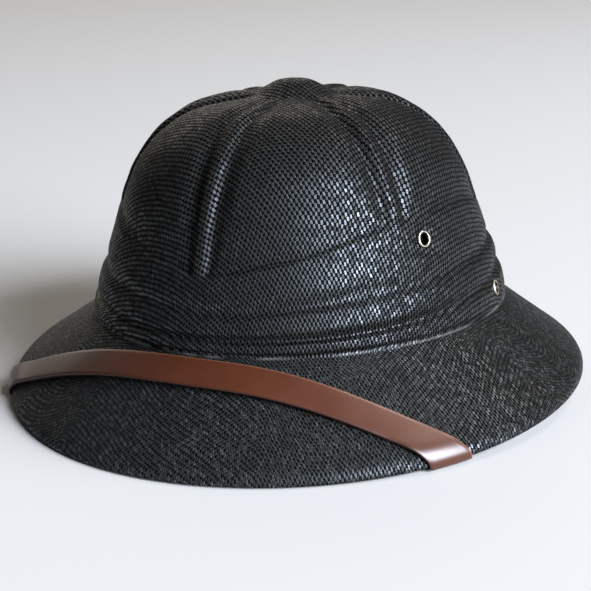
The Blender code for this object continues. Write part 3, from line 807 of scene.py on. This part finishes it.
def pressing_values(level, angle):
    """PRESS_VALUES at each point of a row; the brim's are 0, as it has no relief."""
    if level < 0:
        return [np.zeros(len(angle))] * len(PRESS_VALUES)
    levels = np.full(len(angle), level)
    sector = 2 * math.pi / RIB_COUNT
    off = np.abs((angle + sector / 2) % sector - sector / 2)
    half = rib_half_angle(levels)
    out = smooth(SECTION_STEPS, 2, section_step(levels, angle))
    beside = np.clip(off - half, 0, None) * out * (CROWN_HALF_WIDTH + CROWN_HALF_LENGTH) / 2
    over = (levels - PANEL_LEVEL) * PANEL_LENGTH
    from_rib, from_band = (np.maximum(gap, NUDGE) ** -PANEL_CORNER for gap in (beside, over))
    inset = (from_rib + from_band) ** (-1 / PANEL_CORNER)
    border = from_band / (from_rib + from_band)
    band = smooth(BAND_RELIEF, 1, np.minimum(levels, PANEL_LEVEL))
    over_band = ease((levels - BAND_END) / BAND_END_RUN)
    fade = 1 - ease((levels - BUTTON_FADE) / BUTTON_FADE_RUN)
    return off / half, inset * MM, border, band * MM, over_band, kept_relief(levels, angle), fade


def weave_place(run, angle):
    """Where each point lay on the flat cloth: a cloth pressed over the block keeps its length down the hat
    and crowds together round it."""
    turn = angle - math.radians(CLOTH_TURN)
    return np.stack([run * np.sin(turn), run * np.cos(turn)], -1) * MM


def woven_sheet(skin):
    """The fine pressed sheet, crown and brim in one, with its thickness."""
    levels = sheet_levels()
    turns = np.arange(COLUMNS) * 2 * math.pi / COLUMNS
    rows, ways, values, cloth = [], [], [], []
    run = np.zeros(COLUMNS)
    for level in levels:
        angle = crowd(turns, level)
        points, way = plain_sheet(level, angle)
        if rows:
            run = run + np.linalg.norm(points - rows[-1], axis=-1)
        else:
            way = np.tile((0.0, 0.0, 1.0), (COLUMNS, 1))
        rows.append(points)
        ways.append(way)
        cloth.append(weave_place(run, angle))
        values.append(np.stack(pressing_values(level, angle), -1))
    # The first row is the top's middle, so only one of its points is kept
    keep = np.concatenate([[0], np.arange(COLUMNS, len(levels) * COLUMNS)])
    faces = [(0, 1 + j, 1 + (j + 1) % COLUMNS) for j in range(COLUMNS)]
    for first in range(1, len(keep) - COLUMNS, COLUMNS):
        for j in range(COLUMNS):
            k = (j + 1) % COLUMNS
            faces.append((first + j, first + COLUMNS + j, first + COLUMNS + k, first + k))
    mesh = new_mesh("pressed_straw_sheet", place(np.concatenate(rows)[keep]), [], faces)
    for name, column in zip(PRESS_VALUES, np.concatenate(values)[keep].T):
        store(mesh, name, column)
    store(mesh, "way", np.concatenate(ways)[keep], "FLOAT_VECTOR")
    near = np.repeat(levels, COLUMNS)[keep]
    # The painted highlight along the crease is sharp at the crown's foot and gone a millimetre off
    store(mesh, CREASE, np.exp(-(near / np.where(near > 0, CREASE_ABOVE, CREASE_BELOW)) ** 2))
    store(mesh, CLOSED, ease(-near / CLOSING_RUN))
    off_lip = near + 1.0
    lip_soft = 1 - np.maximum(off_lip / LIP_SOFT_ABOVE, -off_lip / LIP_SOFT_BELOW)
    soft = np.maximum(1 - np.abs(near) / FOOT_SOFT, lip_soft)
    store(mesh, "soft", np.clip(soft, 0, 1) * SOFTEST)
    lay_map(mesh, WEAVE_MAP, np.concatenate(cloth)[keep])
    piece = new_piece("pressed_straw_sheet", mesh)
    if mesh.polygons[0].normal.z < 0:
        mesh.flip_normals()
    run_tree(piece, pressing_tree(), {**PRESS_SIZES, "Surface": skin})
    modify(
        piece, "wall", "SOLIDIFY", thickness=WALL * MM, offset=-1, use_even_offset=True, thickness_clamp=1.0
    )
    return settle(piece)


def strap_middle(turn):
    """Share of the brim where the strap's middle line runs, at angles from the strap's own middle."""
    low, high = (np.full_like(turn, share) for share in STRAP_SHARES)
    for _ in range(STRAP_HALVINGS):
        share = (low + high) / 2
        x, y = brim_plain(share, turn).T[:2]
        rise = np.where(x > 0, STRAP_RISE[1], STRAP_RISE[-1])
        bow = np.where(x > 0, STRAP_ROUND[1], STRAP_ROUND[-1])
        short = -y < CROWN_HALF_LENGTH + STRAP_AHEAD - rise * (np.hypot(x, bow) - bow)
        low, high = np.where(short, share, low), np.where(short, high, share)
    return (low + high) / 2


def strap_edge_line(turn, side):
    """Angles and shares of a line along the strap on the brim; side -1 is its front edge and +1 its rear."""
    share, here = strap_middle(turn), turn + math.radians(STRAP_TURN)
    ahead = brim_plain(strap_middle(turn + NUDGE), here + NUDGE)
    behind = brim_plain(strap_middle(turn - NUDGE), here - NUDGE)
    by_angle = (brim_plain(share, here + NUDGE) - brim_plain(share, here - NUDGE)) / (2 * NUDGE)
    by_share = (brim_plain(share + NUDGE, here) - brim_plain(share - NUDGE, here)) / (2 * NUDGE)
    across = np.cross(np.cross(by_share, by_angle), ahead - behind)
    across *= np.sign(across[:, 1:2]) / np.linalg.norm(across, axis=-1, keepdims=True)
    across *= side * STRAP_WIDTH / 2
    for i in range(len(turn)):
        move = np.linalg.lstsq(np.stack([by_angle[i], by_share[i]], 1), across[i], rcond=None)[0]
        here[i] += move[0]
        share[i] += move[1]
    return here, share


def strap_run(side, way):
    """Angles and shares of a line along the strap, from the brim's middle to the lip in even steps."""
    turn = way * np.radians(np.linspace(0, STRAP_FAN, STRAP_FAN_STEPS))
    share = strap_edge_line(turn, side)[1]
    reach = np.interp(1.0, share, np.abs(turn))
    return strap_edge_line(way * np.linspace(0, reach, STRAP_STEPS + 1), side)


def edge_travel(angle, way, run):
    """Angle after a run along the brim's edge, as an array of one."""
    a, edge = np.full(1, angle), np.ones(1)
    pace = np.linalg.norm(lip_point(edge, a + NUDGE) - lip_point(edge, a - NUDGE)) / (2 * NUDGE)
    return a + way * run / pace


def inside_crown(level, angle):
    """Point of the strap's line inside the crown, and the crown's normal there."""
    point, normal = crown_spot(level, angle)
    return point - normal * (WALL + STRAP_HOLD), normal


def strap_half(side, way):
    """A line along the strap from the middle of the brim round the lip to the strap's end."""
    turns, shares = strap_run(side, way)
    lift = CLEAR + STRAP_FRONT_LIFT * (1 - side) / 2 * (1 - np.linspace(0, 1, len(turns)) ** 2)
    path = list(brim_plain(shares, turns) + brim_normal(shares, turns) * lift[:, None])
    a, s = turns[-1:], shares[-1:]
    bend = outward(a) + brim_normal(s, a)
    bend /= np.linalg.norm(bend)
    path[-1] = (brim_plain(s, a) + bend * STRAP_BEND_GAP)[0]
    for share in STRAP_LIP_SHARES:
        a = edge_travel(turns[-1], way, LIP * STRAP_EDGE_SLANT * share)
        path.append((lip_point(np.full(1, share), a) + outward(a) * CLEAR)[0])
    for run, out, down in STRAP_FOLD:
        a = edge_travel(turns[-1], way, LIP * STRAP_EDGE_SLANT + run)
        path.append((lip_point(np.ones(1), a) + outward(a) * out)[0] - np.array([0, 0, down]))
    # Under the brim the strap runs straight to the crown's foot, and from there up past the rear eyelet
    foot, base = (
        inside_crown(0.0, way * math.acos((off - STRAP_FOOT_Y) / (CROWN_HALF_LENGTH - WALL)))[0]
        for off in (-side * STRAP_FOOT_SPREAD, 0.0)
    )
    foot[2] -= STRAP_FOOT_DROP
    hub, normal = inside_crown(EYELETS[1][2], way * math.radians(EYELETS[1][1]))
    along = (hub - base) / np.linalg.norm(hub - base)
    across = np.cross(normal, along)
    across *= np.sign(across[2])
    end = hub + along * STRAP_END_LAP - across * side * STRAP_WIDTH / 2
    for goal, steps in ((foot, STRAP_UNDER_STEPS), (end, STRAP_END_STEPS)):
        start = path[-1]
        path += [start + (goal - start) * i / steps for i in range(1, steps + 1)]
    # The stiff leather stands off the lip a little and rounds it
    path = np.array(path)
    past = np.arange(len(path)) - STRAP_STEPS
    near = np.exp(-(past / np.where(past > 0, STRAP_CURL_BELOW, STRAP_CURL)) ** 2)[:, None]
    path += near * bend * STRAP_CURL_LIFT
    for _ in range(STRAP_CURL_PASSES):
        path[1:-1] += near[1:-1] * ((path[:-2] + path[2:]) / 2 - path[1:-1])
    return path


def leather_strap(skin):
    """The chin strap, one strip of leather laid edge by edge over the brim, thick and with worn corners."""
    sides = np.linspace(-1, 1, STRAP_LINES)
    lines = [np.concatenate([strap_half(side, -1)[:0:-1], strap_half(side, 1)]) for side in sides]
    middle = lines[STRAP_LINES // 2]
    count = len(middle)
    run = np.concatenate([[0], np.cumsum(np.linalg.norm(np.diff(middle, axis=0), axis=-1))])
    strip = np.concatenate([np.stack([run, np.full(count, side * STRAP_WIDTH / 2)], -1) for side in sides])
    mesh = new_mesh("leather_chin_strap", place(np.concatenate(lines)), [], grid_faces(STRAP_LINES, count))
    lay_map(mesh, STRIP_MAP, strip * MM)
    if mesh.polygons[count // 2].normal.z < 0:
        mesh.flip_normals()
    mesh.materials.append(skin)
    strap = new_piece("leather_chin_strap", mesh)
    modify(
        strap, "wall", "SOLIDIFY",
        thickness=STRAP_THICK * MM, offset=1, use_even_offset=True, thickness_clamp=1.0,
    )
    modify(
        strap, "corners", "BEVEL", width=STRAP_CORNER * MM, segments=2, limit_method="ANGLE",
        angle_limit=math.radians(STRAP_CORNER_ANGLE),
    )
    settle(strap)
    strap.data.shade_smooth()
    return strap


def eyelet_seats():
    """Place, axis, reach outward and inward along it, and name of each eyelet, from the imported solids."""
    seats = []
    for way, word in ((1, "left"), (-1, "right")):
        for kind, turn, level in EYELETS:
            point, axis = crown_spot(level, way * math.radians(turn))
            centre = place(point)
            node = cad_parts["eyelet_%s_%s" % (word, kind)]
            reach = (vertex_places(node.data) - centre) @ axis
            seats.append((centre, axis, reach.max(), reach.min(), node.name))
    return seats


def turned(name, points, wear_and_crease_light):
    """A brass shape turned from a closed profile; wear_and_crease_light says how bright its outside is rubbed.
    """
    count = len(points)
    edges = [(i, (i + 1) % count) for i in range(count)]
    piece = new_piece(name, new_mesh(name, [(x * MM, 0.0, z * MM) for x, z in points], edges, []))
    modify(
        piece, "turned", "SCREW", axis="Z", steps=EYELET_SIDES, render_steps=EYELET_SIDES,
        use_merge_vertices=True, merge_threshold=TURN_MERGE,
    )
    settle(piece)
    solid = bmesh.new()
    solid.from_mesh(piece.data)
    bmesh.ops.remove_doubles(solid, verts=solid.verts, dist=SAME_POINT)
    bmesh.ops.recalc_face_normals(solid, faces=solid.faces)
    solid.to_mesh(piece.data)
    solid.free()
    away = np.hypot(*vertex_places(piece.data)[:, :2].T) / MM
    store(piece.data, RUBBED, wear_and_crease_light * np.clip((away - EYELET_BORE - RUB_START) / RUB_RUN, 0, 1))
    piece.data.shade_smooth()
    return piece


def rolled_rim():
    """Profile of the eyelet's outer rim in millimetres, z 0 on top of its roll."""
    r, f, roll = EYELET_BORE, EYELET_FLANGE, EYELET_ROLL
    turns = np.radians(np.arange(200, 0, -22.5))
    arc = [(r + 0.95 + roll * math.cos(t), -roll + roll * math.sin(t)) for t in turns]
    skirt = [(f, -0.62), (f, -0.86), (f - 0.06, -0.93), (r + 0.5, -0.93), (r, -1.4)]
    return [(r, -1.2), (r + 0.2, -0.95)] + arc + skirt


def petal():
    """One petal of an eyelet's clenched rim, curled down onto what it holds."""
    wide = math.pi / EYELET_PETALS * PETAL_WIDTH
    points = []
    for out, up, share in PETAL:
        r = (EYELET_BORE + out) * MM
        for turn in (wide * share * t for t in PETAL_ACROSS):
            points.append((r * math.cos(turn), r * math.sin(turn), up * MM))
    leaf = new_piece("petal", new_mesh("petal", points, [], grid_faces(len(PETAL), len(PETAL_ACROSS))))
    modify(leaf, "sheet", "SOLIDIFY", thickness=PETAL_THICK * MM, offset=0)
    settle(leaf)
    leaf.data.shade_smooth()
    store(leaf.data, RUBBED, [PETAL_RUB] * len(leaf.data.vertices))
    return leaf


def eyelet_tree(tools):
    """Sets rim, barrel and a ring of petals on each spot, along its axis and as far apart as its depth."""
    tree, given, end = node_tree("set_eyelets", ("Petals",))
    spots = given["Geometry"]
    axis = add(tree, ATTRIBUTE, {"Name": "axis"}, data_type="FLOAT_VECTOR")
    depth = add(tree, ATTRIBUTE, {"Name": "depth"})
    turn = add(tree, "FunctionNodeAlignRotationToVector", {"Vector": axis}, axis="Z")
    rim, barrel, leaf = (add(tree, "GeometryNodeObjectInfo", {"Object": tool}, out=4) for tool in tools)
    rims = add(tree, INSTANCES, {"Points": spots, "Instance": rim, "Rotation": turn})
    length = add(tree, "ShaderNodeCombineXYZ", {"X": 1.0, "Y": 1.0, "Z": depth})
    tubes = add(tree, INSTANCES, {"Points": spots, "Instance": barrel, "Rotation": turn, "Scale": length})
    count = add(tree, "FunctionNodeFloatToInt", {0: given["Petals"]})
    circle = add(tree, "GeometryNodeMeshCircle", {"Vertices": count, "Radius": MM})
    index = add(tree, "GeometryNodeInputIndex")
    spin = add(tree, MATH, {0: index, 1: 2 * math.pi / EYELET_PETALS}, "MULTIPLY")
    spin = add(tree, "ShaderNodeCombineXYZ", {"Z": spin})
    flower = add(tree, INSTANCES, {"Points": circle, "Instance": leaf, "Rotation": spin})
    back = add(tree, "GeometryNodeInputPosition")
    back = add(tree, VECTOR, {0: back, "Scale": -1.0}, "SCALE")
    flower = add(tree, MOVED, {"Instances": flower, "Translation": back, "Local Space": False})
    flower = add(tree, "GeometryNodeRealizeInstances", {0: flower})
    clenched = add(tree, INSTANCES, {"Points": spots, "Instance": flower, "Rotation": turn})
    joined = tree.nodes.new("GeometryNodeJoinGeometry")
    for part, share in ((rims, 0.0), (tubes, -0.5), (clenched, -1.0)):
        under = add(tree, MATH, {0: depth, 1: share}, "MULTIPLY")
        down = add(tree, VECTOR, {0: axis, "Scale": under}, "SCALE")
        part = add(tree, MOVED, {"Instances": part, "Translation": down, "Local Space": False})
        tree.links.new(part, joined.inputs[0])
    finish_tree(tree, given, end, joined.outputs[0])
    return tree


def eyelets(skin, seats):
    """Four eyelets set in the crown, one piece: rolled rim outside, barrel, and split clenched rim inside."""
    r, w = EYELET_BORE, EYELET_WALL
    barrel = turned("barrel", [(r + w, 0.5), (r + w, -0.5), (r, -0.5), (r, 0.5)], 0.0)
    # The barrel is a metre long before the tree scales it to its depth
    barrel.data.transform(Matrix.Scale(1 / MM, 4, (0, 0, 1)))
    tools = turned("rim", rolled_rim(), 1.0), barrel, petal()
    mesh = new_mesh("brass_eyelets", [centre + axis * top for centre, axis, top, *_ in seats], [], [])
    store(mesh, "axis", [seat[1] for seat in seats], "FLOAT_VECTOR")
    store(mesh, "depth", [top - under - EYELET_TUCK * MM for _, _, top, under, _ in seats])
    piece = new_piece("brass_eyelets", mesh)
    run_tree(piece, eyelet_tree(tools), {"Petals": float(EYELET_PETALS), "Surface": skin})
    settle(piece)
    for tool in tools:
        bpy.data.objects.remove(tool, do_unlink=True)
    return piece


def pierce(piece, seats):
    """Cuts the eyelets' holes through a piece."""
    holes = bmesh.new()
    size = (EYELET_BORE + EYELET_WALL) * MM
    for centre, axis, *_ in seats:
        turn = Vector(axis).to_track_quat("Z", "Y").to_matrix().to_4x4()
        bmesh.ops.create_cone(
            holes, cap_ends=True, segments=EYELET_SIDES, radius1=size, radius2=size, depth=EYELET_DRILL * MM,
            matrix=Matrix.Translation(centre) @ turn,
        )
    mesh = bpy.data.meshes.new("holes")
    holes.to_mesh(mesh)
    holes.free()
    cutter = new_piece("holes", mesh)
    modify(piece, "holes", "BOOLEAN", operation="DIFFERENCE", solver="EXACT", object=cutter)
    settle(piece)
    bpy.data.objects.remove(cutter, do_unlink=True)


def toward(azimuth, elevation):
    """Direction at an azimuth, 0 before the hat and rising towards its left, and an elevation, in degrees."""
    turn, rise = math.radians(azimuth), math.radians(elevation)
    return Vector((math.sin(turn) * math.cos(rise), -math.cos(turn) * math.cos(rise), math.sin(rise)))


def soft_light(name, azimuth, elevation, away, size, power, colour):
    """A square softbox that looks at the hat."""
    lamp = bpy.data.lights.new(name, "AREA")
    lamp.shape = "SQUARE"
    lamp.size = size
    lamp.energy = power
    lamp.color = linear(colour)[:3]
    made = new_piece(name, lamp)
    back = toward(azimuth, elevation)
    made.location = Vector(LIT_PLACE) + away * back
    made.rotation_euler = (-back).to_track_quat("-Z", "Y").to_euler()


def studio():
    """Pale paper floor, a window-like softbox from the right, weaker ones behind and above, in a dim room."""
    corners = [(x * FLOOR_HALF, y * FLOOR_HALF, 0.0) for x, y in ((-1, -1), (1, -1), (1, 1), (-1, 1))]
    floor = new_mesh("paper_floor", corners, [], [(0, 1, 2, 3)])
    floor.materials.append(pale_paper_floor())
    new_piece("paper_floor", floor)
    for softbox in SOFTBOXES:
        soft_light(*softbox)
    world = bpy.data.worlds.new("studio_air")
    world.use_nodes = True
    air = world.node_tree.nodes["Background"].inputs
    air["Color"].default_value = linear("#ffffff")
    air["Strength"].default_value = ROOM_LIGHT
    bpy.context.scene.world = world
    bpy.context.scene.view_settings.view_transform = "Standard"


def camera():
    """The photograph's point of view."""
    lens = bpy.data.cameras.new("photo_camera")
    lens.lens = CAMERA_LENS
    lens.sensor_width = CAMERA_SENSOR
    made = new_piece("photo_camera", lens)
    back = toward(CAMERA_AZIMUTH, CAMERA_ELEVATION)
    turn = back.to_track_quat("Z", "Y").to_matrix() @ Matrix.Rotation(math.radians(CAMERA_ROLL), 3, "Z")
    made.matrix_world = Matrix.Translation(Vector(LOOK_AT) + back * CAMERA_AWAY) @ turn.to_4x4()
    bpy.context.scene.camera = made


camera()
studio()
straw = woven_sheet(woven_paper_straw())
strap = leather_strap(smooth_strap_leather())
seats = eyelet_seats()
rings = eyelets(antique_brass(), seats)
pierce(straw, seats)
pierce(strap, [seat for seat in seats if seat[4].endswith("rear")])

for piece, slot in ((straw, "straw"), (strap, "strap_leather"), (rings, "eyelet_brass")):
    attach(piece, "root")
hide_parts("straw_body")
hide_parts("chin_strap")
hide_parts(*[seat[4] for seat in seats])
